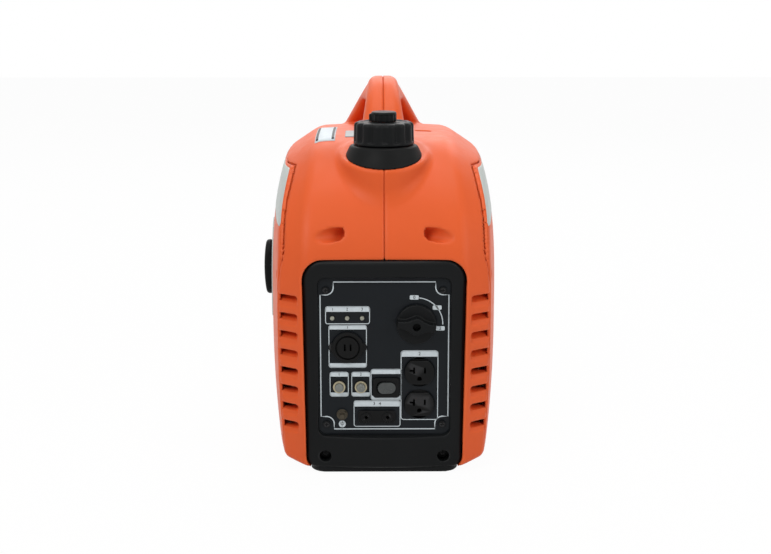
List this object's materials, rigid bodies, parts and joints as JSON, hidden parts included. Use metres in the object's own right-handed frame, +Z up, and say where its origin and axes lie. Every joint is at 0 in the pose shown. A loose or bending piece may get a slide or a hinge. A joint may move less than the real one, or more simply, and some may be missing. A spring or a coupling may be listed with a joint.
{
  "type": "portable generator",
  "caption": "Closed suitcase-style inverter generator with a carry handle, filler cap, recoil grip, front control panel and removable side cover.",
  "frame": {"origin": "centre of the overall box at ground level, under the feet", "axes": "+Z up, -Y towards the control panel, +X towards the maintenance cover; the recoil grip is on the -X side"},
  "size_m": [0.3082, 0.539, 0.452],
  "materials": {
    "orange_shell": "moulded, fine satin grain",
    "black_plastic": "moulded, fine texture",
    "panel_plastic": "smooth satin, printed in white",
    "silver_trim": "satin silver paint",
    "zinc_steel": "zinc plated",
    "exhaust_steel": "heat tinted",
    "cast_alloy": "as cast",
    "black_rubber": "matte",
    "brass_part": "plated, slightly dull",
    "copper_winding": "enamelled wire",
    "socket_plastic": "smooth",
    "lamp_lens": "translucent",
    "button_plastic": "translucent ivory"
  },
  "bodies": {
    "case": {"left_case": "orange_shell", "right_case": "orange_shell", "left_side_cover": "orange_shell", "side_cover_screws": "zinc_steel", "control_bezel": "black_plastic", "control_plate": "panel_plastic", "panel_screws": "zinc_steel", "bezel_screws": "zinc_steel", "case_screws": "zinc_steel", "base_tray": "black_plastic", "rubber_feet": "black_rubber", "rear_cover": "black_plastic", "rear_cover_screws": "zinc_steel", "spark_arrester": "exhaust_steel", "fuel_tank": "black_plastic", "tank_support": "zinc_steel", "fuel_hose": "black_rubber", "filler_collar": "black_rubber", "engine_bracket": "zinc_steel", "engine_mounts": "black_rubber", "engine_block": "cast_alloy", "cylinder_head": "cast_alloy", "rocker_cover": "zinc_steel", "spark_plug": "zinc_steel", "plug_cap": "black_rubber", "carburetor": "cast_alloy", "air_cleaner": "black_plastic", "muffler": "exhaust_steel", "stator": "copper_winding", "fan_shroud": "black_plastic", "recoil_housing": "black_plastic", "starter_rope": "black_rubber", "starter_bezel": "silver_trim", "inverter_unit": "cast_alloy", "engine_switch_body": "cast_alloy", "ac_receptacle": "socket_plastic", "dc_socket": "socket_plastic", "dc_breaker_body": "brass_part", "ac_breaker_body": "brass_part", "economy_switch": "socket_plastic", "parallel_sockets": "socket_plastic", "ground_stud": "brass_part", "indicator_lamps": "lamp_lens"},
    "gasket": {"fuel_cap_gasket": "black_rubber"},
    "cap": {"fuel_cap": "black_plastic"},
    "vent": {"vent_lever": "black_plastic"},
    "grip": {"starter_grip": "black_rubber"},
    "pulley": {"starter_pulley": "cast_alloy"},
    "crank": {"crankshaft": "zinc_steel", "rotor": "zinc_steel", "cooling_fan": "black_plastic"},
    "knob": {"engine_switch_knob": "black_plastic"},
    "dc_button": {"dc_breaker_button": "button_plastic"},
    "ac_button": {"ac_breaker_button": "button_plastic"},
    "rocker": {"economy_rocker": "button_plastic"},
    "maintenance_cover": {"right_side_cover": "orange_shell"},
    "oil_cap": {"oil_filler_cap": "black_plastic"},
    "earth_nut": {"ground_nut": "brass_part"}
  },
  "joints": [
    {"name": "engine_switch_turn", "type": "hinge", "parent": "case", "child": "knob", "pos_m": [0.04355, -0.25, 0.183], "axis": [0, -1, 0], "range_deg": [0, 90]},
    {"name": "cap_lift", "type": "slide", "parent": "case", "child": "gasket", "axis": [0, 0, 1], "range_m": [0, 0.06]},
    {"name": "cap_turn", "type": "hinge", "parent": "gasket", "child": "cap", "pos_m": [0.00605, -0.17, 0.4], "axis": [0, 0, 1], "range_deg": [0, 450]},
    {"name": "vent_lever_turn", "type": "hinge", "parent": "cap", "child": "vent", "pos_m": [0.00605, -0.17, 0.412], "axis": [0, 0, 1], "range_deg": [0, 90]},
    {"name": "grip_pull", "type": "slide", "parent": "case", "child": "grip", "axis": [-1, 0, 0], "range_m": [0, 0.6], "deforming": ["starter_rope"]},
    {"name": "pulley_spin", "type": "hinge", "parent": "case", "child": "pulley", "pos_m": [0.00605, -0.077, 0.178], "axis": [0, -1, 0], "range_deg": [0, 910]},
    {"name": "crank_spin", "type": "hinge", "parent": "case", "child": "crank", "pos_m": [0.00605, 0, 0.178], "axis": [0, 1, 0], "continuous": true},
    {"name": "dc_breaker_press", "type": "slide", "parent": "case", "child": "dc_button", "axis": [0, 1, 0], "range_m": [0, 0.0025], "stiffness_N_per_m": 400},
    {"name": "ac_breaker_press", "type": "slide", "parent": "case", "child": "ac_button", "axis": [0, 1, 0], "range_m": [0, 0.0025], "stiffness_N_per_m": 400},
    {"name": "economy_rock", "type": "hinge", "parent": "case", "child": "rocker", "pos_m": [0.00825, -0.2475, 0.105], "axis": [0, 0, 1], "range_deg": [-14, 0]},
    {"name": "maintenance_cover_removal", "type": "slide", "parent": "case", "child": "maintenance_cover", "axis": [1, 0, 0], "range_m": [0, 0.09]},
    {"name": "oil_cap_turn", "type": "hinge", "parent": "case", "child": "oil_cap", "pos_m": [0.09605, 0.04, 0.07], "axis": [1, 0, 0], "range_deg": [0, 900]},
    {"name": "earth_nut_turn", "type": "hinge", "parent": "case", "child": "earth_nut", "pos_m": [-0.04395, -0.252, 0.072], "axis": [0, -1, 0], "range_deg": [0, 720]}
  ],
  "couplings": [
    {"joint": "pulley_spin", "follows": "grip_pull", "rad_per_m": 26.316}
  ]
}
